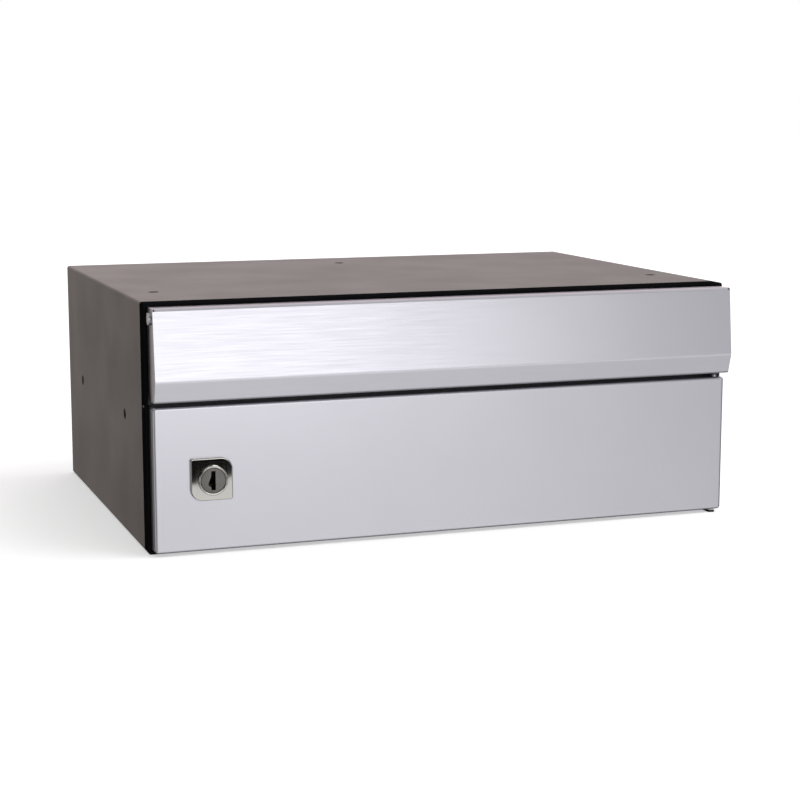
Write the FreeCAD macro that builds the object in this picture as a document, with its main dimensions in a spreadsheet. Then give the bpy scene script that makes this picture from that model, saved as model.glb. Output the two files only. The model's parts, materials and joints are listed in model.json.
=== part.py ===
import FreeCAD, Part
import os
from types import SimpleNamespace

import Sketcher

# A horizontal letterbox: a folded steel box with a moulded front frame, a hood-shaped flap over the letter
# slot and a side-hung door with a cam lock. X runs to the right, Y to the rear and Z up. The origin is under
# the middle of the whole object, on the surface that it stands on. All sizes are millimetres and degrees.

SIZES = [
    ("width", 370, "steel box, side to side"),
    ("height", 146, "steel box, bottom to top"),
    ("shell_depth", 246, "steel box, front edge to rear face"),
    ("front_reach", 28.7, "flap's crease ahead of the steel box, before it is rounded"),
    ("shell_wall", 1.0, "sheet of the box and of its rear panel"),
    ("shell_bend", 1.6, "outer radius of the box's bends"),
    ("shell_flange", 13, "front flange that is folded inwards, measured from outside"),
    ("back_flange", 12, "flange around the rear panel"),
    ("back_ease", 0.8, "rear panel's corners, rounder than the corner that they sit in"),
    ("link_radius", 3.25, "hole that bolts one box to the next"),
    ("link_front", 51, "linking holes behind the front edge"),
    ("link_side_rear", 51, "rear side hole ahead of the rear face"),
    ("link_top_rear", 41, "middle top hole ahead of the rear face"),
    ("link_edge", 19, "front top holes in from the sides"),
    ("wall_edge", 35, "wall fixing holes in from the sides"),
    ("wall_rise", 30, "wall fixing holes in from the top and the bottom"),
    ("frame_depth", 10.5, "front frame's rim ahead of the box"),
    ("rim_wall", 1.7, "rim's thickness"),
    ("rim_ease", 0.5, "rim's inner corners"),
    ("web", 2.5, "frame's wall against the box"),
    ("frame_lip", 1.0, "frame's openings inside the box's own"),
    ("boss_radius", 3.5, "screw boss"),
    ("boss_height", 5.0, "screw boss ahead of the web"),
    ("boss_skin", 1.0, "closed end of a boss"),
    ("bar_boss_skin", 0.5, "closed end of a boss behind the crossbar"),
    ("screw_edge", 7.5, "frame screws in from the box's outside"),
    ("screw_low", 20, "lowest side screws above the bottom"),
    ("screw_mid", 23.5, "middle side screws below the crossbar"),
    ("screw_high", 42, "highest side screws below the top"),
    ("screw_side", 75, "screws in the top and bottom strips in from the sides"),
    ("screw_shank", 1.45, "self-tapping screw"),
    ("screw_head", 2.8, "pan head"),
    ("screw_head_tall", 1.8, "pan head"),
    ("cross_reach", 1.7, "screw's cross recess from its axis"),
    ("cross_half", 0.35, "half the width of a recess"),
    ("cross_deep", 0.9, "depth of a recess"),
    ("snug_fit", 0.05, "clearance of a fixed part in its hole"),
    ("bar_drop", 49, "crossbar's top below the box's top"),
    ("bar_tall", 11.5, "crossbar, bottom to top"),
    ("bar_reach", 8.0, "crossbar's face ahead of the box"),
    ("bar_wall", 1.2, "crossbar's sheet"),
    ("bar_bend", 2.0, "outer radius of the crossbar's bends"),
    ("tab_long", 3.2, "crossbar's end tab, front to rear"),
    ("tab_inset", 0.6, "crossbar's end tab ahead of the web"),
    ("guard_wall", 0.8, "guard's sheet"),
    ("guard_bend", 1.5, "outer radius of the guard's bends"),
    ("guard_deep", 24, "guard behind the frame"),
    ("guard_drop", 23, "guard's rear leg, top to bottom"),
    ("guard_gap", 3, "guard short of the slot's end"),
    ("guard_screw_out", 120, "outer guard screws from the middle"),
    ("face_wall", 1.2, "sheet of the flap and of the door"),
    ("flap_gap", 0.5, "flap's cheek to the rim"),
    ("flap_drop", 2.0, "flap's top below the box's top"),
    ("flap_overlap", 5.0, "flap's lower edge above the crossbar's underside"),
    ("flap_lip_back", 15, "rear edge of the flap's lower lip ahead of the box"),
    ("flap_top_back", 11, "rear edge of the flap's top ahead of the box"),
    ("flap_back", 8.4, "rear edge of the flap's cheeks ahead of the box"),
    ("cheek_slope", 9, "height of the slope at a cheek's lower corner"),
    ("cheek_shoulder", 4, "height of the slope at a cheek's upper corner"),
    ("bevel_tall", 12.2, "finger bevel, bottom to top"),
    ("face_lean", 5.8, "flap's face from upright, in degrees"),
    ("bevel_lean", 16.0, "flap's finger bevel from upright, in degrees"),
    ("crease_bend", 4.0, "outer radius of the crease"),
    ("top_bend", 1.6, "outer radius along the flap's top"),
    ("lip_bend", 1.6, "outer radius along the flap's lower edge"),
    ("relief_radius", 0.7, "bend relief in the flap's top corners"),
    ("pivot_reach", 17.5, "flap's axis ahead of the box"),
    ("pivot_drop", 8.0, "flap's axis below the box's top"),
    ("pin_radius", 1.5, "flap's and door's pins"),
    ("pin_play", 0.05, "running clearance around a pin, on the radius"),
    ("pin_head", 3.5, "flap pin's head"),
    ("pin_head_thick", 1.3, "flap pin's head"),
    ("ear_gap", 0.5, "ear to the flap's cheek"),
    ("ear_wall", 5.0, "ear's thickness"),
    ("ear_radius", 4.0, "round end of an ear"),
    ("ear_drop", 20, "ear's neck below the axis"),
    ("ear_step", 10, "ear's upper edge below the axis, at the neck"),
    ("clip_radius", 3.2, "retaining clip"),
    ("clip_thick", 0.7, "retaining clip"),
    ("groove_radius", 1.1, "clip's groove in the pin"),
    ("clip_mouth", 0.9, "half the clip's mouth"),
    ("clip_gap", 0.4, "clip to the ear, and beyond the clip"),
    ("door_gap", 0.3, "door's end to the rim"),
    ("door_low", 2.0, "door's lower edge"),
    ("door_overlap", 1.8, "door's upper edge above the crossbar's underside"),
    ("door_reach", 19.8, "door's face ahead of the box"),
    ("door_back", 8.4, "rear edge of the door's flanges ahead of the box"),
    ("door_bend", 2.0, "outer radius of the door's corners"),
    ("door_edge", 1.7, "outer radius around the door's face"),
    ("hinge_relief", 11.6, "door's flanges at the hinge end, ahead of the box"),
    ("hinge_edge", 7.4, "door's axis in from the side"),
    ("hinge_reach", 16.5, "door's axis ahead of the box"),
    ("lug_radius", 3.0, "upper lug around a door pin"),
    ("lug_corner", 2.6, "rounded corners of the upper lug"),
    ("lug_gap", 1.4, "upper lug above the door"),
    ("foot_radius", 2.3, "lower lug around a door pin"),
    ("foot_corner", 2.0, "rounded corners of the lower lug"),
    ("foot_thick", 1.0, "lower lug's thickness"),
    ("neck_wall", 0.5, "hinge block's neck around a pin, where it passes the door's sheet"),
    ("block_long", 12, "hinge block, side to side"),
    ("block_tall", 8.0, "hinge block inside the door"),
    ("block_floor", 1.5, "closed end of the upper block"),
    ("block_fit", 0.05, "hinge block to the door's sheet"),
    ("foot_play", 0.15, "lower block and pin to the lug and the ground"),
    ("lock_edge", 36.2, "lock's axis in from the side"),
    ("lock_height", 43.7, "lock's axis above the bottom"),
    ("plate_side", 25, "escutcheon"),
    ("plate_shift", 0.6, "escutcheon's middle out and up from the lock's axis"),
    ("plate_thick", 1.6, "escutcheon"),
    ("plate_wide_bend", 7.0, "escutcheon's two large corners"),
    ("plate_small_bend", 1.5, "escutcheon's two small corners"),
    ("plate_edge", 0.7, "rounded edge of the escutcheon's face"),
    ("rim_lip", 0.7, "lock housing's rim beyond its barrel"),
    ("rim_thick", 1.5, "lock housing's rim"),
    ("rim_edge", 0.6, "rounded edges of the rim's face"),
    ("barrel_radius", 8.0, "lock housing's barrel"),
    ("flat_deep", 0.8, "flats on the barrel, in from its round side"),
    ("barrel_fit", 0.1, "barrel to the holes that it passes through"),
    ("barrel_end", 0.6, "barrel's end behind the box's front edge"),
    ("plug_head", 7.3, "plug's front"),
    ("plug_radius", 6.3, "plug behind its front"),
    ("plug_head_long", 3.5, "plug's front"),
    ("plug_inset", 0.4, "plug's face behind the rim's face"),
    ("plug_edge", 0.25, "rounded edge of the plug's face"),
    ("plug_play", 0.05, "running clearance around the plug, on the radius"),
    ("key_half", 1.3, "half the keyway's width"),
    ("key_half_tall", 5.6, "half the keyway's height"),
    ("key_ward", 1.7, "keyway's side ward beyond its straight part"),
    ("ward_top", 2.8, "ward's slope starts above the axis"),
    ("ward_out", 1.6, "ward is widest from here below the axis"),
    ("ward_tall", 1.1, "ward's widest part and its lower slope"),
    ("key_deep", 19, "keyway"),
    ("wafer_half", 2.8, "half a wafer's width"),
    ("wafer_half_tall", 4.4, "half a wafer's height"),
    ("wafer_thick", 0.5, "wafer"),
    ("wafer_play", 0.1, "wafer to its slot, on each side"),
    ("wafer_first", 6.5, "first wafer behind the plug's face"),
    ("wafer_pitch", 2.3, "one wafer to the next"),
    ("window_half", 1.5, "half the width of a wafer's window"),
    ("window_half_tall", 3.2, "half the height of a wafer's window"),
    ("square_half", 2.5, "half the plug's square drive"),
    ("stack_gap", 0.1, "housing to the stop washer"),
    ("stop_thick", 1.0, "stop washer"),
    ("cam_thick", 1.6, "cam"),
    ("cam_reach", 29, "cam's tip from the lock's axis"),
    ("cam_half", 6.0, "half the cam's width"),
    ("cam_heel", 7.6, "cam's heel from the lock's axis"),
    ("cam_corner", 3.0, "cam's rounded corners"),
    ("cam_washer_radius", 4.5, "washer under the cam screw"),
    ("cam_washer_thick", 0.8, "washer under the cam screw"),
    ("cam_screw_radius", 1.5, "cam screw"),
    ("cam_screw_head", 3.4, "cam screw's head"),
    ("cam_screw_tall", 2.2, "cam screw's head"),
    ("cam_screw_long", 6.0, "cam screw in the plug"),
    ("nut_wall", 3.0, "lock nut's flats beyond the barrel"),
    ("nut_thick", 4.0, "lock nut"),
    ("buffer_radius", 2.4, "rubber buffer"),
    ("buffer_fit", 0.2, "rubber buffer to the sheet that rests on it"),
    ("flap_buffer_out", 150, "flap buffers from the middle"),
    ("door_buffer_edge", 4.3, "door buffers in from the side"),
    ("door_buffer_drop", 10.5, "upper door buffer below the crossbar"),
    ("door_buffer_rise", 30, "lower door buffer above the bottom"),
    ("flap_buffer_drop", 4.5, "flap buffers below the crossbar's top"),
]

DOC = FreeCAD.newDocument("Letterbox")
SHEET = DOC.addObject("Spreadsheet::Sheet", "Sizes")
for row, (alias, value, meaning) in enumerate(SIZES, 1):
    SHEET.set(f"A{row}", meaning)
    SHEET.set(f"B{row}", str(value))
    SHEET.setAlias(f"B{row}", alias)
DOC.recompute()


class Size:
    """A size as an expression over the spreadsheet, so that sums of sizes stay bound to its cells."""

    def __init__(self, text):
        self.text = str(text)

    def __str__(self):
        return self.text

    def __add__(self, other):
        return Size(f"({self} + {other})")

    def __radd__(self, other):
        return Size(f"({other} + {self})")

    def __sub__(self, other):
        return Size(f"({self} - {other})")

    def __rsub__(self, other):
        return Size(f"({other} - {self})")

    def __mul__(self, other):
        return Size(f"({self} * {other})")

    def __rmul__(self, other):
        return Size(f"({other} * {self})")

    def __truediv__(self, other):
        return Size(f"({self} / {other})")

    def __neg__(self):
        return Size(f"(-1 * {self})")


def tangent(angle):
    return Size(f"tan({angle})")


def cosine(angle):
    return Size(f"cos({angle})")


def number(place):
    """What a size or a place comes to now, as a plain number."""
    result = SHEET.evalExpression(str(place))
    return float(getattr(result, "Value", result))


size = SimpleNamespace(**{alias: Size(f"Sizes.{alias}") for alias, _, _ in SIZES})

# Sketcher's own numbers for the origin and for the points of a line or a circle.
ORIGIN = -1
START, END, MIDDLE = 1, 2, 3

# Two levels no further apart than this, in millimetres, are the same level.
NEAR = 1e-4

WAFERS = 5
HEXAGON_HALF_ANGLE = 30

# Places that many pieces share.
HALF = size.width / 2
INSIDE = HALF - size.shell_wall
RIM_INSIDE = HALF - size.rim_wall
OPEN_HALF = HALF - size.shell_flange - size.frame_lip
FLAP_HALF = RIM_INSIDE - size.flap_gap
DOOR_HALF = RIM_INSIDE - size.door_gap
LEANS = (cosine(size.face_lean) + cosine(size.bevel_lean)) / (1 + cosine(size.face_lean + size.bevel_lean))
NOSE = size.front_reach - size.crease_bend * (LEANS - 1)
FRONT = (NOSE - size.shell_depth) / 2
REAR = FRONT + size.shell_depth
WEB_FACE = FRONT - size.web
BAR_FACE = FRONT - size.bar_reach
BAR_HIGH = size.height - size.bar_drop
BAR_LOW = BAR_HIGH - size.bar_tall
FLAP_LOW = BAR_LOW + size.flap_overlap
CREASE_UP = FLAP_LOW + size.bevel_tall
DOOR_HIGH = BAR_LOW + size.door_overlap
DOOR_ROOF = DOOR_HIGH - size.face_wall
DOOR_FLOOR = size.door_low + size.face_wall
LUG_LOW = DOOR_HIGH + size.lug_gap
PIVOT_Y = FRONT - size.pivot_reach
PIVOT_Z = size.height - size.pivot_drop
HINGE_X = HALF - size.hinge_edge
HINGE_Y = FRONT - size.hinge_reach
DOOR_FACE = FRONT - size.door_reach
LOCK_X = size.lock_edge - HALF
LOCK_Z = size.lock_height
PLATE_FACE = DOOR_FACE - size.plate_thick
RIM_FACE = PLATE_FACE - size.rim_thick
PLUG_FACE = RIM_FACE + size.plug_inset
BARREL_END = FRONT + size.barrel_end
STOP_FRONT = BARREL_END + size.stack_gap
CAM_FRONT = STOP_FRONT + size.stop_thick
CAM_REAR = CAM_FRONT + size.cam_thick
CAM_WASHER_REAR = CAM_REAR + size.cam_washer_thick


# How each piece is drawn: outlines in a plane that faces the front, the side or the top.
FACINGS = {"front": ("XZ_Plane", -1), "side": ("YZ_Plane", 1), "top": ("XY_Plane", 1)}


def new_body(label):
    made = DOC.addObject("PartDesign::Body", label)
    made.Label = label
    return made


def box(left, right, low, high):
    return [(left, low), (right, low), (right, high), (left, high)]


def ring(across, up, radius):
    return (across, up, radius)


def fix_point(sketch, element, point, across, up):
    for kind, place in (("DistanceX", across), ("DistanceY", up)):
        index = sketch.addConstraint(Sketcher.Constraint(kind, ORIGIN, START, element, point, number(place)))
        sketch.setExpression(f"Constraints[{index}]", str(place))


def draw_circle(sketch, across, up, radius):
    centre = FreeCAD.Vector(number(across), number(up), 0)
    circle = sketch.addGeometry(Part.Circle(centre, FreeCAD.Vector(0, 0, 1), number(radius)))
    fix_point(sketch, circle, MIDDLE, across, up)
    index = sketch.addConstraint(Sketcher.Constraint("Radius", circle, number(radius)))
    sketch.setExpression(f"Constraints[{index}]", str(radius))


def draw_polygon(sketch, corners):
    first = sketch.GeometryCount
    places = [FreeCAD.Vector(number(across), number(up), 0) for across, up in corners]
    following = places[1:] + places[:1]
    for here, there in zip(places, following):
        sketch.addGeometry(Part.LineSegment(here, there))
    for step in range(len(corners)):
        joined = first + (step + 1) % len(corners)
        sketch.addConstraint(Sketcher.Constraint("Coincident", first + step, END, joined, START))
    for step, (across, up) in enumerate(corners):
        fix_point(sketch, first + step, START, across, up)


def sketch_on(owner, facing, level, outlines):
    role, sign = FACINGS[facing]
    sketch = owner.newObject("Sketcher::SketchObject", "Outline")
    plane = next(feature for feature in owner.Origin.OriginFeatures if feature.Role == role)
    sketch.AttachmentSupport = [(plane, "")]
    sketch.MapMode = "FlatFace"
    sketch.setExpression("AttachmentOffset.Base.z", str(sign * Size(level)))
    for outline in outlines:
        if isinstance(outline, tuple):
            draw_circle(sketch, *outline)
        else:
            draw_polygon(sketch, outline)
    return sketch


def extrude(owner, kind, facing, low, high, outlines):
    """Adds or cuts what lies within the outlines, between two levels along the axis that they face."""
    faces_up = FACINGS[facing][1] > 0
    starts_low = faces_up == (kind == "PartDesign::Pad")
    sketch = sketch_on(owner, facing, low if starts_low else high, outlines)
    made = owner.newObject(kind, kind.split("::")[1])
    made.Profile = sketch
    made.setExpression("Length", str(high - low))
    return made


def add(owner, facing, low, high, *outlines):
    return extrude(owner, "PartDesign::Pad", facing, low, high, outlines)


def cut(owner, facing, low, high, *outlines):
    return extrude(owner, "PartDesign::Pocket", facing, low, high, outlines)


def on_side(side, near, far):
    """The low and the high level of a span given outwards on the right and mirrored on the left."""
    return (near, far) if side > 0 else (-far, -near)


def edges_along(owner, axis, places):
    """Names of the straight edges that run along an axis through any of the places, given across it."""
    DOC.recompute()
    across = [index for index in range(3) if index != "XYZ".index(axis)]
    wanted = [[number(value) for value in place] for place in places]
    found = []
    for count, edge in enumerate(owner.Tip.Shape.Edges, 1):
        ends = [vertex.Point for vertex in edge.Vertexes]
        if edge.Curve.TypeId != "Part::GeomLine":
            continue
        for place in wanted:
            if all(abs(end[a] - value) < NEAR for end in ends for a, value in zip(across, place)):
                found.append(f"Edge{count}")
    return found


def round_edges(owner, names, radius):
    tip = owner.Tip
    made = owner.newObject("PartDesign::Fillet", "Fillet")
    made.Base = (tip, names)
    made.setExpression("Radius", str(radius))


def round_along(owner, axis, radius, *places):
    round_edges(owner, edges_along(owner, axis, places), radius)


def round_front(owner, level, radius):
    """Rounds every edge that lies in a front face at that level."""
    DOC.recompute()
    height = number(level)
    names = []
    for count, edge in enumerate(owner.Tip.Shape.Edges, 1):
        if all(abs(vertex.Point.y - height) < NEAR for vertex in edge.Vertexes):
            names.append(f"Edge{count}")
    round_edges(owner, names, radius)


def four_corners(across, low, high):
    return [(-across, low), (across, low), (-across, high), (across, high)]


def cross(across, up):
    """A screw's cross recess: twelve corners around its axis."""
    reach, half = size.cross_reach, size.cross_half
    arm = [(-half, -reach), (half, -reach), (half, -half), (reach, -half), (reach, half), (half, half)]
    arm += [(half, reach), (-half, reach), (-half, half), (-reach, half), (-reach, -half), (-half, -half)]
    return [(across + x, up + z) for x, z in arm]


# Cabinet

def frame_screw_places():
    side = HALF - size.screw_edge
    strip = HALF - size.screw_side
    heights = (size.screw_low, BAR_LOW - size.screw_mid, size.height - size.screw_high)
    places = [(sign * side, up) for up in heights for sign in (-1, 1)]
    for up in (size.screw_edge, size.height - size.screw_edge):
        places += [(sign * strip, up) for sign in (-1, 1)]
    return places


def guard_screw_places():
    up = (BAR_LOW + BAR_HIGH) / 2
    return [(sign * size.guard_screw_out, up) for sign in (-1, 0, 1)]


def make_shell():
    """Sheet steel wrapped into a tube, its front edge folded inwards all round."""
    made = new_body("body_shell")
    add(made, "front", FRONT, REAR, box(-HALF, HALF, Size(0), size.height))
    round_along(made, "Y", size.shell_bend, *four_corners(HALF, 0, size.height))
    top_inside = size.height - size.shell_wall
    cut(made, "front", FRONT + size.shell_wall, REAR, box(-INSIDE, INSIDE, size.shell_wall, top_inside))
    inner_bend = size.shell_bend - size.shell_wall
    round_along(made, "Y", inner_bend, *four_corners(INSIDE, size.shell_wall, top_inside))
    flange = size.shell_flange
    opening = box(flange - HALF, HALF - flange, flange, size.height - flange)
    cut(made, "front", FRONT, FRONT + size.shell_wall, opening)
    link_out, link_back = HALF - size.link_edge, FRONT + size.link_front
    level = [ring(sign * link_out, link_back, size.link_radius) for sign in (-1, 1)]
    level.append(ring(Size(0), REAR - size.link_top_rear, size.link_radius))
    cut(made, "top", Size(0), size.shell_wall, *level)
    cut(made, "top", top_inside, size.height, *level)
    for side in (-1, 1):
        places = (FRONT + size.link_front, REAR - size.link_side_rear)
        holes = [ring(place, size.height / 2, size.link_radius) for place in places]
        cut(made, "side", *on_side(side, INSIDE, HALF), *holes)
    radius = size.screw_shank + size.snug_fit
    cut(made, "front", FRONT, FRONT + size.shell_wall, *[ring(x, z, radius) for x, z in frame_screw_places()])


def make_rear_panel():
    """A shallow pan, its flanges inside the tube, with four holes for screws into a wall."""
    made = new_body("rear_panel")
    top_inside = size.height - size.shell_wall
    start = REAR - size.back_flange
    bend = size.shell_bend - size.shell_wall + size.back_ease
    add(made, "front", start, REAR, box(-INSIDE, INSIDE, size.shell_wall, top_inside))
    round_along(made, "Y", bend, *four_corners(INSIDE, size.shell_wall, top_inside))
    within, floor, roof = INSIDE - size.shell_wall, 2 * size.shell_wall, top_inside - size.shell_wall
    cut(made, "front", start, REAR - size.shell_wall, box(-within, within, floor, roof))
    round_along(made, "Y", bend - size.shell_wall, *four_corners(within, floor, roof))
    holes = four_corners(HALF - size.wall_edge, size.wall_rise, size.height - size.wall_rise)
    cut(made, "front", REAR - size.shell_wall, REAR, *[ring(x, z, size.link_radius) for x, z in holes])


def ear_outline():
    """Below the pin the ear drops straight, then steps back to the web, clear of the flap's top."""
    neck = PIVOT_Z - size.ear_drop
    return [
        (PIVOT_Y - size.ear_radius, PIVOT_Z),
        (PIVOT_Y - size.ear_radius, neck),
        (WEB_FACE, neck - size.ear_radius),
        (WEB_FACE, PIVOT_Z - size.ear_step - size.ear_radius),
        (PIVOT_Y + size.ear_radius, PIVOT_Z - size.ear_step),
        (PIVOT_Y + size.ear_radius, PIVOT_Z),
    ]


def make_frame():
    """A black moulding: a rim around a web with the slot's and the door's openings, screwed from inside."""
    made = new_body("front_frame")
    face = FRONT - size.frame_depth
    rim_top = size.height - size.rim_wall
    add(made, "front", face, FRONT, box(-HALF, HALF, Size(0), size.height))
    round_along(made, "Y", size.shell_bend, *four_corners(HALF, 0, size.height))
    cut(made, "front", face, WEB_FACE, box(-RIM_INSIDE, RIM_INSIDE, size.rim_wall, rim_top))
    round_along(made, "Y", size.rim_ease, *four_corners(RIM_INSIDE, size.rim_wall, rim_top))
    edge = size.shell_flange + size.frame_lip
    slot = box(-OPEN_HALF, OPEN_HALF, BAR_HIGH, size.height - edge)
    doorway = box(-OPEN_HALF, OPEN_HALF, edge, BAR_LOW)
    cut(made, "front", WEB_FACE, FRONT, slot, doorway)
    boss_face = WEB_FACE - size.boss_height
    add(made, "front", boss_face, WEB_FACE, *[ring(x, z, size.boss_radius) for x, z in frame_screw_places()])
    bar_boss = [ring(x, z, size.boss_radius) for x, z in guard_screw_places()]
    add(made, "front", BAR_FACE + size.bar_wall, WEB_FACE, *bar_boss)
    radius = size.screw_shank + size.snug_fit
    frame_holes = [ring(x, z, radius) for x, z in frame_screw_places()]
    cut(made, "front", boss_face + size.boss_skin, FRONT, *frame_holes)
    bar_holes = [ring(x, z, radius) for x, z in guard_screw_places()]
    cut(made, "front", BAR_FACE + size.bar_wall + size.bar_boss_skin, FRONT, *bar_holes)
    ear_out = FLAP_HALF - size.face_wall - size.ear_gap
    for side in (-1, 1):
        span = on_side(side, ear_out - size.ear_wall, ear_out)
        add(made, "side", *span, ear_outline())
        add(made, "side", *span, ring(PIVOT_Y, PIVOT_Z, size.ear_radius))
        cut(made, "side", *span, ring(PIVOT_Y, PIVOT_Z, size.pin_radius + size.pin_play))
        cut(made, "side", *on_side(side, RIM_INSIDE, HALF), tab_outline(size.snug_fit))
    foot_left, foot_right = HINGE_X - size.foot_radius, HINGE_X + size.foot_radius
    foot_front = HINGE_Y - size.foot_radius
    add(made, "top", Size(0), size.foot_thick, box(foot_left, foot_right, foot_front, face))
    round_along(made, "Z", size.foot_corner, (foot_left, foot_front), (foot_right, foot_front))
    cut(made, "top", Size(0), size.foot_thick, ring(HINGE_X, HINGE_Y, size.pin_radius + size.pin_play))


def tab_outline(fit):
    """The crossbar's end tab, seen from the side, made larger all round by a clearance."""
    rear = WEB_FACE - size.tab_inset
    return box(rear - size.tab_long - fit, rear + fit, BAR_LOW - fit, BAR_LOW + size.bar_wall + fit)


def make_crossbar():
    """A folded channel between slot and door, its ends tabbed through the rim, with the door's upper lug."""
    made = new_body("crossbar")
    inner_face = BAR_FACE + size.bar_wall
    section = [
        (BAR_FACE, BAR_LOW),
        (WEB_FACE, BAR_LOW),
        (WEB_FACE, BAR_LOW + size.bar_wall),
        (inner_face, BAR_LOW + size.bar_wall),
        (inner_face, BAR_HIGH - size.bar_wall),
        (WEB_FACE, BAR_HIGH - size.bar_wall),
        (WEB_FACE, BAR_HIGH),
        (BAR_FACE, BAR_HIGH),
    ]
    add(made, "side", -RIM_INSIDE, RIM_INSIDE, section)
    round_along(made, "X", size.bar_bend, (BAR_FACE, BAR_LOW), (BAR_FACE, BAR_HIGH))
    inner_bends = ((inner_face, BAR_LOW + size.bar_wall), (inner_face, BAR_HIGH - size.bar_wall))
    round_along(made, "X", size.bar_bend - size.bar_wall, *inner_bends)
    for side in (-1, 1):
        add(made, "side", *on_side(side, RIM_INSIDE, HALF), tab_outline(Size(0)))
    left, right = HINGE_X - size.lug_radius, HINGE_X + size.lug_radius
    lug_front = HINGE_Y - size.lug_radius
    lug_top = LUG_LOW + size.bar_wall
    add(made, "top", LUG_LOW, lug_top, box(left, right, lug_front, BAR_FACE))
    round_along(made, "Z", size.lug_corner, (left, lug_front), (right, lug_front))
    cut(made, "top", LUG_LOW, lug_top, ring(HINGE_X, HINGE_Y, size.pin_radius + size.pin_play))


def make_guard():
    """Folded sheet behind the slot, which keeps a hand from reaching down to the letters."""
    made = new_body("slot_guard")
    half = OPEN_HALF - size.guard_gap
    near, far = FRONT, FRONT + size.guard_deep
    top = BAR_HIGH
    section = [
        (near, BAR_LOW),
        (near + size.guard_wall, BAR_LOW),
        (near + size.guard_wall, top - size.guard_wall),
        (far - size.guard_wall, top - size.guard_wall),
        (far - size.guard_wall, top - size.guard_drop),
        (far, top - size.guard_drop),
        (far, top),
        (near, top),
    ]
    add(made, "side", -half, half, section)
    round_along(made, "X", size.guard_bend, (near, top), (far, top))
    under = top - size.guard_wall
    inner_bends = ((near + size.guard_wall, under), (far - size.guard_wall, under))
    round_along(made, "X", size.guard_bend - size.guard_wall, *inner_bends)
    holes = [ring(x, z, size.screw_shank + size.snug_fit) for x, z in guard_screw_places()]
    cut(made, "front", near, near + size.guard_wall, *holes)


def make_screw(label, across, up, seat, tip):
    """A pan-head self-tapping screw that is driven forwards; its head lies behind the seat."""
    made = new_body(label)
    add(made, "front", tip, seat, ring(across, up, size.screw_shank))
    head_end = seat + size.screw_head_tall
    add(made, "front", seat, head_end, ring(across, up, size.screw_head))
    cut(made, "front", head_end - size.cross_deep, head_end, cross(across, up))


def make_buffer(label, across, up, face, seat):
    made = new_body(label)
    add(made, "front", face, seat, ring(across, up, size.buffer_radius))


def make_cabinet():
    make_shell()
    make_rear_panel()
    make_frame()
    make_crossbar()
    make_guard()
    tip = WEB_FACE - size.boss_height + size.boss_skin
    for count, (across, up) in enumerate(frame_screw_places(), 1):
        make_screw(f"frame_screw_{count}", across, up, FRONT + size.shell_wall, tip)
    tip = BAR_FACE + size.bar_wall + size.bar_boss_skin
    for count, (across, up) in enumerate(guard_screw_places(), 1):
        make_screw(f"guard_screw_{count}", across, up, FRONT + size.guard_wall, tip)
    flap_stop = FRONT - size.flap_lip_back + size.face_wall + size.buffer_fit
    door_stop = FRONT - size.door_back + size.buffer_fit
    for name, side in (("left", -1), ("right", 1)):
        across = side * size.flap_buffer_out
        make_buffer(f"flap_buffer_{name}", across, BAR_HIGH - size.flap_buffer_drop, flap_stop, BAR_FACE)
    for name, up in (("high", BAR_LOW - size.door_buffer_drop), ("low", size.door_buffer_rise)):
        make_buffer(f"door_buffer_{name}", size.door_buffer_edge - HALF, up, door_stop, WEB_FACE)


# Flap

def flap_lines(inset):
    """Front corners of the flap's section, top first, moved inwards by an inset."""
    top = size.height - size.flap_drop
    lean, bevel = tangent(size.face_lean), tangent(size.bevel_lean)
    face_inset, bevel_inset = inset / cosine(size.face_lean), inset / cosine(size.bevel_lean)
    rise = (bevel_inset - face_inset) / (lean + bevel)
    crease = FRONT - size.front_reach

    def face_at(up):
        return crease + (up - CREASE_UP) * lean + face_inset

    def bevel_at(up):
        return crease + (CREASE_UP - up) * bevel + bevel_inset

    bend_up = CREASE_UP + rise
    return [
        (face_at(top - inset), top - inset),
        (face_at(bend_up), bend_up),
        (bevel_at(FLAP_LOW + inset), FLAP_LOW + inset),
    ]


def make_flap_panel():
    """A folded hood: top, face, finger bevel and lower lip, with a cheek at each end."""
    made = new_body("flap_panel")
    top = size.height - size.flap_drop
    outer = flap_lines(Size(0))
    inner = flap_lines(size.face_wall)
    cheek = FRONT - size.flap_back
    back = [
        (FRONT - size.flap_lip_back, FLAP_LOW),
        (cheek, FLAP_LOW + size.cheek_slope),
        (cheek, top - size.cheek_shoulder),
        (FRONT - size.flap_top_back, top),
    ]
    bends = (size.top_bend, size.crease_bend, size.lip_bend)
    add(made, "side", -FLAP_HALF, FLAP_HALF, outer + back)
    for place, bend in zip(outer, bends):
        round_along(made, "X", bend, place)
    within = FLAP_HALF - size.face_wall
    hollow = inner + [(FRONT, FLAP_LOW + size.face_wall), (FRONT, top - size.face_wall)]
    cut(made, "side", -within, within, hollow)
    for place, bend in zip(inner, bends):
        round_along(made, "X", bend - size.face_wall, place)
    relief_out = FLAP_HALF - size.relief_radius
    reliefs = [ring(sign * relief_out, top - size.relief_radius, size.relief_radius) for sign in (-1, 1)]
    cut(made, "front", FRONT - size.front_reach, PIVOT_Y - size.ear_radius, *reliefs)
    for side in (-1, 1):
        cut(made, "side", *on_side(side, within, FLAP_HALF), ring(PIVOT_Y, PIVOT_Z, size.pin_radius))


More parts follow.
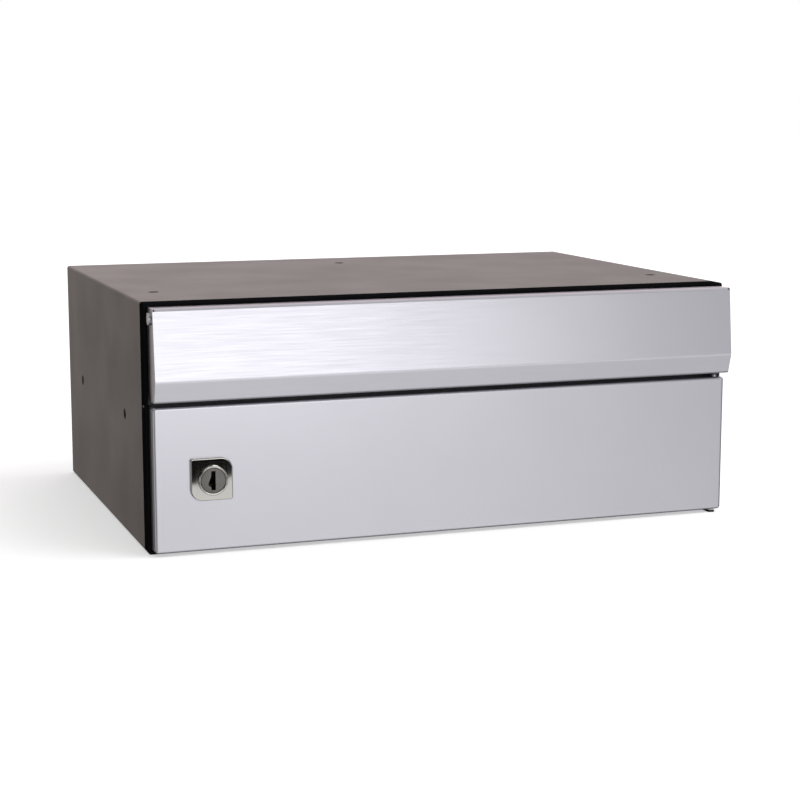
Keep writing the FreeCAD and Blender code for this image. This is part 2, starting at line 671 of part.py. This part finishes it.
def make_flap_pins():
    """Headed pins, pressed into the cheeks, that turn in the frame's ears behind a clip each."""
    ear_in = FLAP_HALF - size.face_wall - size.ear_gap - size.ear_wall
    clip_far = ear_in - size.clip_gap
    clip_near = clip_far - size.clip_thick
    for name, side in (("left", -1), ("right", 1)):
        pin = new_body(f"flap_pin_{name}")
        shaft = on_side(side, clip_near - size.clip_gap, FLAP_HALF)
        add(pin, "side", *shaft, ring(PIVOT_Y, PIVOT_Z, size.pin_radius))
        head = on_side(side, FLAP_HALF, FLAP_HALF + size.pin_head_thick)
        add(pin, "side", *head, ring(PIVOT_Y, PIVOT_Z, size.pin_head))
        groove_floor = ring(PIVOT_Y, PIVOT_Z, size.groove_radius)
        groove = (ring(PIVOT_Y, PIVOT_Z, size.pin_radius + size.pin_play), groove_floor)
        cut(pin, "side", *on_side(side, clip_near, clip_far), *groove)
        clip = new_body(f"flap_clip_{name}")
        span = on_side(side, clip_near, clip_far)
        add(clip, "side", *span, ring(PIVOT_Y, PIVOT_Z, size.clip_radius), groove_floor)
        mouth = box(PIVOT_Y - size.clip_mouth, PIVOT_Y + size.clip_mouth, PIVOT_Z - size.clip_radius, PIVOT_Z)
        cut(clip, "side", *span, mouth)


# Door

def make_door_panel():
    """A folded tray, cut back at its hinge end so that it turns clear of the rim."""
    made = new_body("door_panel")
    back = FRONT - size.door_back
    add(made, "front", DOOR_FACE, back, box(-DOOR_HALF, DOOR_HALF, size.door_low, DOOR_HIGH))
    round_along(made, "Y", size.door_bend, *four_corners(DOOR_HALF, size.door_low, DOOR_HIGH))
    round_front(made, DOOR_FACE, size.door_edge)
    within = DOOR_HALF - size.face_wall
    cut(made, "front", DOOR_FACE + size.face_wall, back, box(-within, within, DOOR_FLOOR, DOOR_ROOF))
    round_along(made, "Y", size.door_bend - size.face_wall, *four_corners(within, DOOR_FLOOR, DOOR_ROOF))
    relief = box(HINGE_X - size.pin_radius, HALF, FRONT - size.hinge_relief, back)
    cut(made, "top", size.door_low, DOOR_HIGH, relief)
    lock_hole = ring(LOCK_X, LOCK_Z, size.barrel_radius + size.barrel_fit)
    cut(made, "front", DOOR_FACE, DOOR_FACE + size.face_wall, lock_hole)
    neck = ring(HINGE_X, HINGE_Y, size.pin_radius + size.neck_wall)
    cut(made, "top", DOOR_ROOF, DOOR_HIGH, neck)
    cut(made, "top", size.door_low, DOOR_FLOOR, neck)


def make_hinge_block(name, corner, body, neck, bore):
    """A nylon block in the door's corner; its neck lines the hole in the sheet and its bore holds the pin."""
    made = new_body(f"door_block_{name}")
    right = DOOR_HALF - size.face_wall - size.block_fit
    front = DOOR_FACE + size.face_wall + size.block_fit
    add(made, "top", *body, box(right - size.block_long, right, front, FRONT - size.hinge_relief))
    round_along(made, "Y", size.door_bend - size.face_wall, (right, corner))
    add(made, "top", *neck, ring(HINGE_X, HINGE_Y, size.pin_radius + size.neck_wall))
    cut(made, "top", *bore, ring(HINGE_X, HINGE_Y, size.pin_radius))


def make_door_pins():
    """An upper and a lower steel pin on one upright axis, each held in a block and turning in a lug."""
    upper_low = DOOR_ROOF - size.block_tall
    pin_low = upper_low + size.block_floor
    make_hinge_block("top", DOOR_ROOF, (upper_low, DOOR_ROOF), (DOOR_ROOF, DOOR_HIGH), (pin_low, DOOR_HIGH))
    lower_high = DOOR_FLOOR + size.block_tall
    neck_low = size.foot_thick + size.foot_play
    bore = (neck_low, lower_high)
    make_hinge_block("bottom", DOOR_FLOOR, (DOOR_FLOOR, lower_high), (neck_low, DOOR_FLOOR), bore)
    pins = {"top": (pin_low, LUG_LOW + size.bar_wall), "bottom": (size.foot_play, lower_high)}
    for name, (low, high) in pins.items():
        pin = new_body(f"door_pin_{name}")
        add(pin, "top", low, high, ring(HINGE_X, HINGE_Y, size.pin_radius))


def make_escutcheon():
    """A square plate around the lock: two opposite corners are large arcs and two are small."""
    made = new_body("escutcheon")
    middle_x, middle_z = LOCK_X - size.plate_shift, LOCK_Z + size.plate_shift
    left, right = middle_x - size.plate_side / 2, middle_x + size.plate_side / 2
    low, high = middle_z - size.plate_side / 2, middle_z + size.plate_side / 2
    add(made, "front", PLATE_FACE, DOOR_FACE, box(left, right, low, high))
    round_along(made, "Y", size.plate_wide_bend, (right, high), (left, low))
    round_along(made, "Y", size.plate_small_bend, (left, high), (right, low))
    round_front(made, PLATE_FACE, size.plate_edge)
    cut(made, "front", PLATE_FACE, DOOR_FACE, ring(LOCK_X, LOCK_Z, size.barrel_radius + size.barrel_fit))


def make_housing():
    """The lock's outer barrel with its rim, bored in two steps for the plug."""
    made = new_body("lock_housing")
    add(made, "front", PLATE_FACE, BARREL_END, ring(LOCK_X, LOCK_Z, size.barrel_radius))
    left, right = LOCK_X - size.barrel_radius, LOCK_X + size.barrel_radius
    flats = []
    for side in (-1, 1):
        near, far = on_side(side, size.barrel_radius - size.flat_deep, size.barrel_radius)
        flats.append(box(left, right, LOCK_Z + near, LOCK_Z + far))
    cut(made, "front", DOOR_FACE + size.face_wall, BARREL_END, *flats)
    add(made, "front", RIM_FACE, PLATE_FACE, ring(LOCK_X, LOCK_Z, size.barrel_radius + size.rim_lip))
    head_end = PLUG_FACE + size.plug_head_long + size.plug_play
    cut(made, "front", RIM_FACE, head_end, ring(LOCK_X, LOCK_Z, size.plug_head + size.plug_play))
    round_front(made, RIM_FACE, size.rim_edge)
    cut(made, "front", head_end, BARREL_END, ring(LOCK_X, LOCK_Z, size.plug_radius + size.plug_play))


def make_nut():
    made = new_body("lock_nut")
    flat = size.barrel_radius + size.nut_wall
    corner = flat / cosine(HEXAGON_HALF_ANGLE)
    flats = [(corner, Size(0)), (corner / 2, flat), (-corner / 2, flat)]
    flats += [(-x, -z) for x, z in flats]
    outline = [(LOCK_X + x, LOCK_Z + z) for x, z in flats]
    seat = DOOR_FACE + size.face_wall
    add(made, "front", seat, seat + size.nut_thick, outline)
    cut(made, "front", seat, seat + size.nut_thick, ring(LOCK_X, LOCK_Z, size.barrel_radius + size.snug_fit))


def make_door():
    make_door_panel()
    make_door_pins()
    make_escutcheon()
    make_housing()
    make_nut()


# Lock plug and what turns with it

def wafer_places():
    return [PLUG_FACE + size.wafer_first + count * size.wafer_pitch for count in range(WAFERS)]


def lock_box(half, half_tall):
    return box(LOCK_X - half, LOCK_X + half, LOCK_Z - half_tall, LOCK_Z + half_tall)


def make_plug():
    """A stepped plug with a keyway, a slot for each wafer, and a square drive with a tapped hole behind."""
    made = new_body("lock_plug")
    head_end = PLUG_FACE + size.plug_head_long
    add(made, "front", PLUG_FACE, head_end, ring(LOCK_X, LOCK_Z, size.plug_head))
    round_front(made, PLUG_FACE, size.plug_edge)
    add(made, "front", head_end, STOP_FRONT, ring(LOCK_X, LOCK_Z, size.plug_radius))
    add(made, "front", STOP_FRONT, CAM_REAR, lock_box(size.square_half, size.square_half))
    left, right = LOCK_X - size.key_half, LOCK_X + size.key_half
    ward = left - size.key_ward
    keyway = [
        (left, LOCK_Z - size.key_half_tall),
        (right, LOCK_Z - size.key_half_tall),
        (right, LOCK_Z + size.key_half_tall),
        (left, LOCK_Z + size.key_half_tall),
        (left, LOCK_Z + size.ward_top),
        (ward, LOCK_Z - size.ward_out),
        (ward, LOCK_Z - size.ward_out - size.ward_tall),
        (left, LOCK_Z - size.ward_out - 2 * size.ward_tall),
    ]
    cut(made, "front", PLUG_FACE, PLUG_FACE + size.key_deep, keyway)
    for place in wafer_places():
        slot = lock_box(size.wafer_half + size.wafer_play, size.wafer_half_tall + size.wafer_play)
        cut(made, "front", place - size.wafer_play, place + size.wafer_thick + size.wafer_play, slot)
    screw_end = CAM_REAR - size.cam_screw_long
    cut(made, "front", screw_end, CAM_REAR, ring(LOCK_X, LOCK_Z, size.cam_screw_radius + size.snug_fit))


def make_wafers():
    """Brass plates whose windows the key passes through."""
    for count, place in enumerate(wafer_places(), 1):
        made = new_body(f"wafer_{count}")
        add(made, "front", place, place + size.wafer_thick, lock_box(size.wafer_half, size.wafer_half_tall))
        window = lock_box(size.window_half, size.window_half_tall)
        cut(made, "front", place, place + size.wafer_thick, window)


def make_cam():
    """A flat arm on the plug's square; it points down with the lock open and outwards with it shut."""
    made = new_body("lock_cam")
    tip, heel = LOCK_Z - size.cam_reach, LOCK_Z + size.cam_heel
    left, right = LOCK_X - size.cam_half, LOCK_X + size.cam_half
    add(made, "front", CAM_FRONT, CAM_REAR, box(left, right, tip, heel))
    round_along(made, "Y", size.cam_corner, (left, tip), (right, tip), (left, heel), (right, heel))
    hole = size.square_half + size.snug_fit
    cut(made, "front", CAM_FRONT, CAM_REAR, lock_box(hole, hole))


def make_cam_fixings():
    """The stop washer before the cam, and the washer and screw that hold it."""
    stop = new_body("stop_washer")
    hole = size.square_half + size.snug_fit
    add(stop, "front", STOP_FRONT, CAM_FRONT, ring(LOCK_X, LOCK_Z, size.barrel_radius))
    cut(stop, "front", STOP_FRONT, CAM_FRONT, lock_box(hole, hole))
    washer = new_body("cam_washer")
    washer_hole = ring(LOCK_X, LOCK_Z, size.cam_screw_radius + size.snug_fit)
    add(washer, "front", CAM_REAR, CAM_WASHER_REAR, ring(LOCK_X, LOCK_Z, size.cam_washer_radius), washer_hole)
    screw = new_body("cam_screw")
    shank = ring(LOCK_X, LOCK_Z, size.cam_screw_radius)
    add(screw, "front", CAM_REAR - size.cam_screw_long, CAM_WASHER_REAR, shank)
    head_end = CAM_WASHER_REAR + size.cam_screw_tall
    add(screw, "front", CAM_WASHER_REAR, head_end, ring(LOCK_X, LOCK_Z, size.cam_screw_head))
    cut(screw, "front", head_end - size.cross_deep, head_end, cross(LOCK_X, LOCK_Z))


def make_lock():
    make_plug()
    make_wafers()
    make_cam()
    make_cam_fixings()


def check_features():
    """Every object is up to date, every cut takes something away and every sub-part is a valid solid."""
    for item in DOC.Objects:
        if {"Invalid", "Error"} & set(item.State):
            raise SystemExit(f"{item.Name} failed: {item.getStatusString()}")
        if item.TypeId == "PartDesign::Pocket":
            removed = item.BaseFeature.Shape.Volume - item.Shape.Volume
            if removed < NEAR:
                raise SystemExit(f"{item.Name} in {item.getParentGeoFeatureGroup().Label} cuts nothing")
    for piece in pieces():
        shape = piece.Shape
        if shape.isNull() or not shape.isValid() or len(shape.Solids) != 1:
            raise SystemExit(f"{piece.Label} isn't one valid solid")


def pieces():
    return [item for item in DOC.Objects if item.TypeId == "PartDesign::Body"]


make_cabinet()
make_flap_panel()
make_flap_pins()
make_door()
make_lock()
DOC.recompute()
check_features()

os.makedirs("parts", exist_ok=True)
for piece in pieces():
    piece.Shape.exportStep(f"parts/{piece.Label}.step")
whole = Part.makeCompound([piece.Shape for piece in pieces()]).BoundBox
print(f"{len(pieces())} sub-parts, {whole.XLength:.2f} x {whole.YLength:.2f} x {whole.ZLength:.2f} mm")
print(f"front {whole.YMin:.3f}, rear {whole.YMax:.3f}, bottom {whole.ZMin:.3f}")
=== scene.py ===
# %% [markdown]
# # A horizontal letterbox, from bare sheet metal to a studio picture
# The box is a folded steel tray with a moulded front frame, a flap over the letter slot and a door with
# a cam lock. All its shapes come from a mechanical model, the frame, which is loaded first and never
# moved. This lesson gives each piece the finish that the real one has, and then lights it.

# %% Load the frame
import json
import math

import bpy
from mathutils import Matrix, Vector

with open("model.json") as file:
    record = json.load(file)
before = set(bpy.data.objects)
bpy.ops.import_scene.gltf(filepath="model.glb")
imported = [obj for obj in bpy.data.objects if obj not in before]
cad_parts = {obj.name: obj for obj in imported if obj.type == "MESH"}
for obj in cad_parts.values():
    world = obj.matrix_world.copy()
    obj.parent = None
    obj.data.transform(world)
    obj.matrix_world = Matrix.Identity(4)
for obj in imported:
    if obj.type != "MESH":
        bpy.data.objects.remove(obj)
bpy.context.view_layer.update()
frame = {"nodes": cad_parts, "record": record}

MM = 0.001

# %% [markdown]
# ## The camera
# The camera comes first, because what a satin or a polished face shows depends on where it is seen from. A
# short lens close by would spread the box's sides apart, so this is a long lens from more than a metre
# away, as for a catalogue. It stands to the left of the box and looks slightly down.

# %% Camera
CAMERA_PLACE = Vector((-397.0, -1151.2, 259.9)) * MM
CAMERA_AIM = Vector((-27.0, -108.5, 80.6)) * MM
LENS_MM = 83.4
SENSOR_MM = 36.0

camera = bpy.data.objects.new("camera", bpy.data.cameras.new("camera"))
bpy.context.scene.collection.objects.link(camera)
camera.location = CAMERA_PLACE
camera.rotation_euler = (CAMERA_AIM - CAMERA_PLACE).to_track_quat("-Z", "Y").to_euler()
camera.data.lens = LENS_MM
camera.data.sensor_width = SENSOR_MM
bpy.context.scene.camera = camera
print("camera to box:", round((CAMERA_AIM - CAMERA_PLACE).length, 3), "m")

# %% [markdown]
# ## Two helpers for finishes
# Colours are given as a screen shows them, so they are written as sRGB hex codes. A shader works in linear
# light, and one function turns the code into it. Every node is added by one small function too: it takes
# the kind of node, what goes into its sockets, which is a number or another node's output, and its settings.

# %% Colour and node helpers


def linear(code):
    """An sRGB hex code, such as '#808080', as linear red, green, blue and alpha."""
    shares = [int(code[i:i + 2], 16) / 255 for i in (1, 3, 5)]
    return [s / 12.92 if s <= 0.04045 else ((s + 0.055) / 1.055) ** 2.4 for s in shares] + [1.0]


def add_node(material, kind, inputs, **settings):
    """Adds a node and fills its sockets with numbers, or links them to other nodes' outputs."""
    tree = material.node_tree
    made = tree.nodes.new(kind)
    for name, value in settings.items():
        setattr(made, name, value)
    for socket, value in inputs.items():
        if isinstance(value, bpy.types.NodeSocket):
            tree.links.new(value, made.inputs[socket])
        else:
            made.inputs[socket].default_value = value
    return made


def new_material(name):
    """A material with a Principled shader on its output. Returns it, its shader and its coordinates."""
    material = bpy.data.materials.new(name)
    material.use_nodes = True
    material.node_tree.nodes.clear()
    shader = add_node(material, "ShaderNodeBsdfPrincipled", {})
    add_node(material, "ShaderNodeOutputMaterial", {"Surface": shader.outputs["BSDF"]})
    place = add_node(material, "ShaderNodeTexCoord", {})
    return material, shader, place.outputs["Object"]


def per(size_mm):
    """A texture's scale for a pattern that repeats about every size_mm."""
    return 1 / (size_mm * MM)


print("mid grey in linear light:", round(linear("#808080")[0], 3))

# %% [markdown]
# ## Patterns that several finishes share
# A real surface is never one number. Noise gives its colour and roughness a little spread, and a bump
# node turns noise into relief that is too small to model. Brush lines are noise too, on coordinates that
# are squeezed across the stroke. Each pattern is sized from the real thing: spray paint has an orange
# peel of about 1 mm, an etched sheet has a grain of tenths of a millimetre.

# %% Shared patterns


def speckle(material, place, size_mm, detail=2.0):
    """Soft noise whose blobs are about size_mm, as a value from 0 to 1."""
    noise = add_node(material, "ShaderNodeTexNoise",
                     {"Vector": place, "Scale": per(size_mm), "Detail": detail, "Roughness": 0.5})
    return noise.outputs["Fac"]


def strokes(material, place, across_mm, along, stretch=40.0):
    """Brush lines about across_mm apart that run along one axis: 0 is X, 1 is Y and 2 is Z."""
    squeeze = [1 / stretch if axis == along else 1.0 for axis in range(3)]
    squeezed = add_node(material, "ShaderNodeMapping", {"Vector": place, "Scale": squeeze})
    return speckle(material, squeezed.outputs["Vector"], across_mm, detail=3.0)


def spread(material, value, low, high):
    """Stretches a noise value to run from low to high."""
    ramp = add_node(material, "ShaderNodeMapRange",
                    {"Value": value, "From Min": 0.25, "From Max": 0.75, "To Min": low, "To Max": high})
    return ramp.outputs["Result"]


def blend_colours(material, value, first, second):
    """Mixes two hex colours by a noise value."""
    mix = add_node(material, "ShaderNodeMix", {"Factor": value}, data_type="RGBA")
    mix.inputs["A"].default_value = linear(first)
    mix.inputs["B"].default_value = linear(second)
    return mix.outputs["Result"]


def relief(material, value, depth_mm, below=None):
    """Turns a noise value into relief of that depth, on top of other relief if there is any."""
    inputs = {"Height": value, "Distance": depth_mm * MM, "Strength": 1.0}
    if below is not None:
        inputs["Normal"] = below
    return add_node(material, "ShaderNodeBump", inputs).outputs["Normal"]


def join(material, shader, **sockets):
    """Links outputs to the shader's sockets, named with underscores for spaces."""
    for name, output in sockets.items():
        material.node_tree.links.new(output, shader.inputs[name.replace("_", " ")])


print("orange peel scale:", per(1.2), "per metre")

# %% [markdown]
# ## Powder-coated steel, for the box
# The box is sprayed with dry paint and baked. That gives a tough satin skin over the folds, with an
# orange peel and a finer texture. It could be one glossy colour, but then its large flat sides would look
# like card: it is the broken reflection that says paint. The paint is a warm dark grey.

# %% Box paint


def powder_coat(name, dark, light, roughness, peel_mm, peel_deep_mm):
    """Baked powder paint: two close colours, a peel that breaks reflections and a fine grain."""
    material, shader, place = new_material(name)
    peel = speckle(material, place, peel_mm)
    grain = speckle(material, place, peel_mm / 4)
    cloud = speckle(material, place, 45)
    colour = blend_colours(material, grain, dark, light)
    rough = spread(material, cloud, roughness - 0.03, roughness + 0.03)
    coarse = relief(material, peel, peel_deep_mm)
    fine = relief(material, grain, peel_deep_mm / 5, coarse)
    join(material, shader, Base_Color=colour, Roughness=rough, Normal=fine)
    shader.inputs["IOR"].default_value = 1.5
    return material


box_paint = powder_coat("powder_coat_warm_grey", "#4d4642", "#554e49", 0.46, 1.3, 0.012)
bar_paint = powder_coat("powder_coat_near_black", "#18181a", "#202022", 0.45, 1.0, 0.01)
print("made", box_paint.name, "and", bar_paint.name)

# %% [markdown]
# ## Moulded black plastic, for the front frame
# The frame is injection-moulded ABS. The mould is spark-eroded, so the plastic has a grain of about
# 0.2 mm, which is drawn at 0.5 mm to show at all. Every plastic glances when it is seen almost along its
# face, and on black even a weak glance looks grey. The deep grain of the frame swallows it, so the frame
# has no shine, while the nylon hinge blocks and the rubber buffers keep theirs.

# %% Frame plastic


def moulded_plastic(name, dark, light, roughness, grain_mm, grain_deep_mm, shine=0.5):
    """Grained plastic from a spark-eroded mould, with a shine from 0 for none to 0.5 for a smooth face."""
    material, shader, place = new_material(name)
    grain = speckle(material, place, grain_mm, detail=4.0)
    flow = speckle(material, place, 30)
    colour = blend_colours(material, flow, dark, light)
    rough = spread(material, grain, roughness - 0.06, roughness + 0.06)
    join(material, shader, Base_Color=colour, Roughness=rough, Normal=relief(material, grain, grain_deep_mm))
    shader.inputs["IOR"].default_value = 1.53
    shader.inputs["Specular IOR Level"].default_value = shine
    return material


frame_plastic = moulded_plastic("abs_moulded_black", "#131315", "#18181a", 0.5, 0.5, 0.01, shine=0.0)
nylon = moulded_plastic("nylon_moulded_natural", "#c9c5ba", "#d5d1c6", 0.5, 0.6, 0.01)
rubber = moulded_plastic("rubber_moulded_black", "#18181a", "#222224", 0.75, 0.5, 0.02)
print("made", frame_plastic.name, nylon.name, rubber.name)

# %% [markdown]
# ## Satin anodised aluminium, for the flap and the door
# The two silver faces are etched and anodised sheet. The etch leaves a fine grain that spreads a lamp into
# a broad glow, and under it the rolling lines of the sheet still run from side to side. A mirror with
# high roughness alone would look like grey paint, so the lines also change the roughness a little.

# %% Face aluminium
material, shader, place = new_material("aluminium_anodised_satin")
rolling = strokes(material, place, 0.5, along=0, stretch=60.0)
etch = speckle(material, place, 0.35, detail=3.0)
cloud = speckle(material, place, 60)
tone = blend_colours(material, cloud, "#c0bfc6", "#c6c5cc")
rough = spread(material, rolling, 0.34, 0.40)
lines = relief(material, rolling, 0.0012)
join(material, shader, Base_Color=tone, Roughness=rough, Normal=relief(material, etch, 0.0015, lines))
shader.inputs["Metallic"].default_value = 1.0
face_aluminium = material
print("made", face_aluminium.name)

# %% [markdown]
# ## Plated metals, for the lock, the screws and the guard
# Chrome plate over polished zinc is close to a mirror. Its face shows the room, so what matters is a low
# roughness with faint wipe marks. Nickel on the lock's plug is brushed and has fine lines. Zinc plate on
# steel is greyer and duller. The brass wafers deep in the keyway are a dark brown: a little tarnish, with
# the shade of the deep keyway painted into their colour. One function makes them all from two colours, a
# roughness and the stroke of its lines.

# %% Plated metals


def plated_metal(name, dark, light, smooth, rough, lines_mm, along, lines_deep_mm):
    """Metal with lines that run along one axis, and a little tarnish in its colour."""
    material, shader, place = new_material(name)
    lines = strokes(material, place, lines_mm, along)
    tarnish = speckle(material, place, 8)
    colour = blend_colours(material, tarnish, dark, light)
    join(material, shader, Base_Color=colour, Roughness=spread(material, lines, smooth, rough),
         Normal=relief(material, lines, lines_deep_mm))
    shader.inputs["Metallic"].default_value = 1.0
    return material


chrome = plated_metal("chrome_plate_polished", "#b0aea9", "#b9b7b2", 0.02, 0.035, 2.5, 2, 0.0004)
plug_nickel = plated_metal("nickel_plate_brushed", "#545250", "#73716e", 0.24, 0.38, 0.18, 2, 0.004)
zinc = plated_metal("zinc_plate_on_steel", "#a9adb2", "#b9bcbf", 0.26, 0.38, 0.4, 0, 0.002)
guard_zinc = plated_metal("zinc_coated_sheet", "#9ea3a8", "#b2b5b8", 0.34, 0.46, 1.2, 0, 0.003)
# The brass colours hold painted shade of the deep keyway, on top of some tarnish.
brass = plated_metal("brass_tarnish_and_painted_shade", "#33291a", "#43351f", 0.35, 0.45, 0.3, 2, 0.002)
print("made", chrome.name, plug_nickel.name, zinc.name, guard_zinc.name, brass.name)

# %% [markdown]
# ## Give every piece its finish
# Each piece of the frame already names the slot that its finish belongs to, in the record. One table
# joins the slots to the finishes, and a loop hands them out, so that no piece can be left plain.

# %% Hand out the finishes
FINISHES = {
    "shell_paint": box_paint,
    "frame_plastic": frame_plastic,
    "bar_paint": bar_paint,
    "guard_zinc": guard_zinc,
    "face_aluminium": face_aluminium,
    "chrome_plate": chrome,
    "plug_steel": plug_nickel,
    "zinc_steel": zinc,
    "nylon": nylon,
    "brass": brass,
    "rubber": rubber,
}
for subpart in frame["record"]["subparts"]:
    piece = frame["nodes"][subpart["node"]]
    piece.data.materials.clear()
    piece.data.materials.append(FINISHES[subpart["material_slot"]])

# %% [markdown]
# ## The floor
# The box stands on a wide sheet of pale matt paper. Its material glows a little, which is painted light
# in place of a lamp under a table for catalogue pictures: the glow keeps the paper white and paints the
# shadow on it paler. The sheet could curve up behind the box as a backdrop, but the room around it is as
# white as the paper, so a flat round sheet that reaches past the horizon shows no edge, and it looks the
# same from every side.

# %% Paper floor
FLOOR_RADIUS = 12.0
FLOOR_SIDES = 64
FLOOR_PAINTED_GLOW = 0.42

rim = [math.tau * side / FLOOR_SIDES for side in range(FLOOR_SIDES)]
corners = [(FLOOR_RADIUS * math.cos(turn), FLOOR_RADIUS * math.sin(turn), 0.0) for turn in rim]
sheet = bpy.data.meshes.new("paper_floor")
sheet.from_pydata(corners, [], [list(range(FLOOR_SIDES))])
floor = bpy.data.objects.new("paper_floor", sheet)
bpy.context.scene.collection.objects.link(floor)

paper, shader, place = new_material("paper_matt_white_painted_glow")
fibre = speckle(paper, place, 3.0)
join(paper, shader, Base_Color=blend_colours(paper, fibre, "#f4f4f4", "#f8f8f8"))
shader.inputs["Roughness"].default_value = 0.9
shader.inputs["Specular IOR Level"].default_value = 0.1
# Emission is painted light: no lamp stands under the paper, and the glow paints its shadow paler.
shader.inputs["Emission Color"].default_value = linear("#ffffff")
shader.inputs["Emission Strength"].default_value = FLOOR_PAINTED_GLOW
sheet.materials.append(paper)
print("floor is", 2 * FLOOR_RADIUS, "m across")

# %% [markdown]
# ## Lamps
# A soft lamp stands in front, a little above the floor. The flap leans back and sees it, so its glow lies
# on the left of the flap and fades to the right, and the upright door sees only its rim. A wide sun from
# the upper right stands for a ceiling panel and lays a faint shadow on the left. Its picture would draw a
# white line along every rounded edge at the top, so it is left out of reflections.

# %% Lamps


def add_lamp(name, kind, place, energy, **settings):
    """Adds a lamp that faces the middle of the box, and returns its holder."""
    lamp = bpy.data.lights.new(name, kind)
    lamp.energy = energy
    for setting, value in settings.items():
        setattr(lamp, setting, value)
    holder = bpy.data.objects.new(name, lamp)
    holder.location = place
    holder.rotation_euler = (BOX_MIDDLE - Vector(place)).to_track_quat("-Z", "Y").to_euler()
    bpy.context.scene.collection.objects.link(holder)
    return holder


BOX_MIDDLE = Vector((0.0, 0.0, 0.08))
add_lamp("lamp_front", "AREA", (0.2, -2.2, 0.24), 7.1, shape="RECTANGLE", size=1.15, size_y=0.45)
ceiling_lamp = add_lamp("lamp_upper_right", "SUN", (1.2, -0.5, 1.4), 1.0, angle=math.radians(50))
ceiling_lamp.visible_glossy = False

# %% [markdown]
# ## The room
# Satin metal and chrome are drawn by what stands around them. A white room would turn the left side of the
# box and the chrome plate pale, so the room is a dark studio with a few soft panels. Each panel is a cone
# of directions with a soft edge, and a note says which face of the box sees it. The lower part of the room
# stands for a grey table, and a narrow dark strip with sharp edges lies above it, a little askew. Satin
# metal blurs the strip away, but the chrome plate shows where it ends. The glowing floor is left out of
# reflections, and the camera sees the room as white.

# %% Room


def combine(operation, first, second):
    """One step of arithmetic on two vectors, or on a vector and a scale."""
    second_socket = "Scale" if operation == "SCALE" else 1
    inputs = {0: first, second_socket: second}
    return add_node(world, "ShaderNodeVectorMath", inputs, operation=operation).outputs


def calculate(operation, first, second):
    """One step of arithmetic on two numbers."""
    return add_node(world, "ShaderNodeMath", {0: first, 1: second}, operation=operation).outputs["Value"]


def add_panel(aim, inner_deg, outer_deg, strength, tint="#ffffff"):
    """Light from the directions around aim: full inside the inner angle and none past the outer one."""
    facing = combine("DOT_PRODUCT", generated, Vector(aim).normalized())["Value"]
    panel = add_node(world, "ShaderNodeMapRange",
                     {"Value": facing, "From Min": math.cos(math.radians(outer_deg)),
                      "From Max": math.cos(math.radians(inner_deg)), "To Max": strength},
                     interpolation_type="SMOOTHSTEP")
    return combine("SCALE", linear(tint)[:3], panel.outputs["Result"])["Vector"]


STRIP_LOW = -0.245
STRIP_TALL = 0.04
STRIP_SLOPE = 0.1875


def outside_dark_strip():
    """0 in the low dark strip ahead of the box, which lies a little askew, and 1 everywhere else."""
    level = calculate("SUBTRACT", parts["Z"], calculate("MULTIPLY", parts["X"], STRIP_SLOPE))
    ahead = calculate("LESS_THAN", parts["Y"], 0.0)
    above = calculate("GREATER_THAN", level, STRIP_LOW)
    under = calculate("LESS_THAN", level, STRIP_LOW + STRIP_TALL)
    strip = calculate("MULTIPLY", calculate("MULTIPLY", above, under), ahead)
    return calculate("SUBTRACT", 1.0, strip)


world = bpy.data.worlds.new("studio_room")
bpy.context.scene.world = world
world.use_nodes = True
world.node_tree.nodes.clear()
generated = add_node(world, "ShaderNodeTexCoord", {}).outputs["Generated"]
parts = add_node(world, "ShaderNodeSeparateXYZ", {"Vector": generated}).outputs
panels = [
    add_panel((0.1, 0.0, 1.0), 30, 70, 0.75),  # ceiling, for faces that look up
    add_panel((0.35, 0.92, 0.16), 5, 45, 1.17, "#fff0f2"),  # rear wall, for the box's top
    add_panel((-0.22, 0.97, 0.02), 5, 32, 0.55, "#fff4ea"),  # rear left wall, for the left side
    add_panel((0.75, -0.65, 0.2), 15, 60, 0.45),  # front right fill, for the flap
    add_panel((-0.95, -0.25, -0.15), 5, 38, 0.8),  # left wall, for the upright edges
    add_panel((0.0, -0.77, -0.6), 5, 40, 0.6),  # table, for the flap's bevel
    add_panel((0.34, -0.9, -0.34), 5, 25, 0.62),  # table's far end, for the door
    add_panel((0.1, -0.5, -1.0), 20, 60, 0.34),  # table's near end, for the bevel
]
light = [0.0] * 3
for panel in panels:
    light = combine("ADD", panel, light)["Vector"]
light = combine("SCALE", light, outside_dark_strip())["Vector"]
print("room of", len(panels), "panels")

# %% [markdown]
# ## Switch the room on
# A little light from everywhere keeps the dark studio from being pitch black. Rays that come straight from
# the camera get plain white instead of the room, because the backdrop should not show the panels.

# %% Background
DARK = 0.012

light = combine("ADD", light, [DARK] * 3)["Vector"]
from_camera = add_node(world, "ShaderNodeLightPath", {}).outputs["Is Camera Ray"]
shown = add_node(world, "ShaderNodeMix", {"Factor": from_camera}, data_type="RGBA")
world.node_tree.links.new(light, shown.inputs["A"])
shown.inputs["B"].default_value = linear("#ffffff")
room = add_node(world, "ShaderNodeBackground", {"Color": shown.outputs["Result"], "Strength": 1.0})
add_node(world, "ShaderNodeOutputWorld", {"Surface": room.outputs["Background"]})
floor.visible_diffuse = False
floor.visible_glossy = False
floor.visible_shadow = False
bpy.context.scene.view_settings.view_transform = "Standard"
print("background:", room.name)
